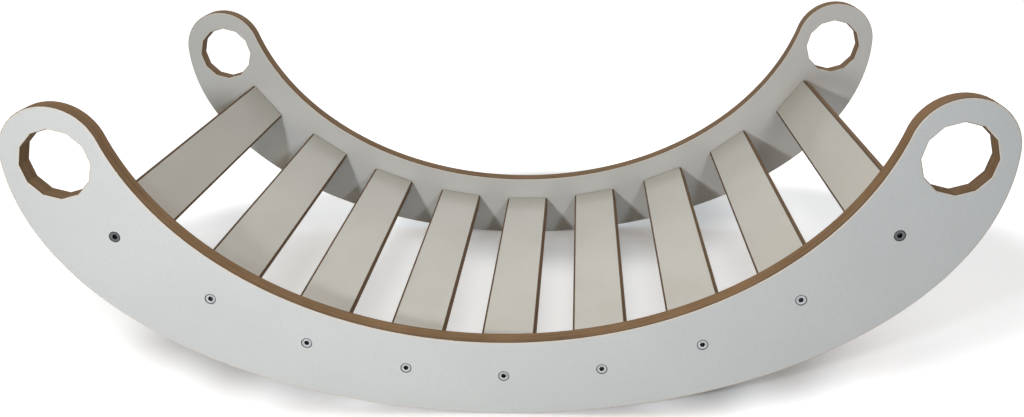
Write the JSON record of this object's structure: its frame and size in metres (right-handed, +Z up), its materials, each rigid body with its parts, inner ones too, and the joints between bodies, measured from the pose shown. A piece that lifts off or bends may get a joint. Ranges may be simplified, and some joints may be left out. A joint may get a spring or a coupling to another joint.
{
  "type": "wooden rocker arch",
  "caption": "Children's wooden rocker: two crescent side panels with round, holed ends, joined by flat slats along their inner edge; turned over it is a climbing arch.",
  "frame": {"origin": "on the floor under the middle of the rocker, where its curved lower edges touch", "axes": "+X along the rocker to its right end, +Y from the front side panel to the rear one, +Z up"},
  "size_m": [0.852, 0.46, 0.2965],
  "materials": {
    "panel_board": "satin white coated board with bare brown cut edges",
    "slat_board": "satin white coated board with bare brown rounded edges",
    "screw_steel": "zinc-plated flat-headed furniture screw with a hexagon socket",
    "dowel_wood": "plain beech, hidden inside the joints"
  },
  "bodies": {
    "root": {"side_panel_front": "panel_board", "side_panel_rear": "panel_board", "slat_1": "slat_board", "slat_2": "slat_board", "slat_3": "slat_board", "slat_4": "slat_board", "slat_5": "slat_board", "slat_6": "slat_board", "slat_7": "slat_board", "slat_8": "slat_board", "slat_9": "slat_board", "screws_front": "screw_steel", "screws_rear": "screw_steel", "dowels_front": "dowel_wood", "dowels_rear": "dowel_wood"}
  },
  "joints": []
}
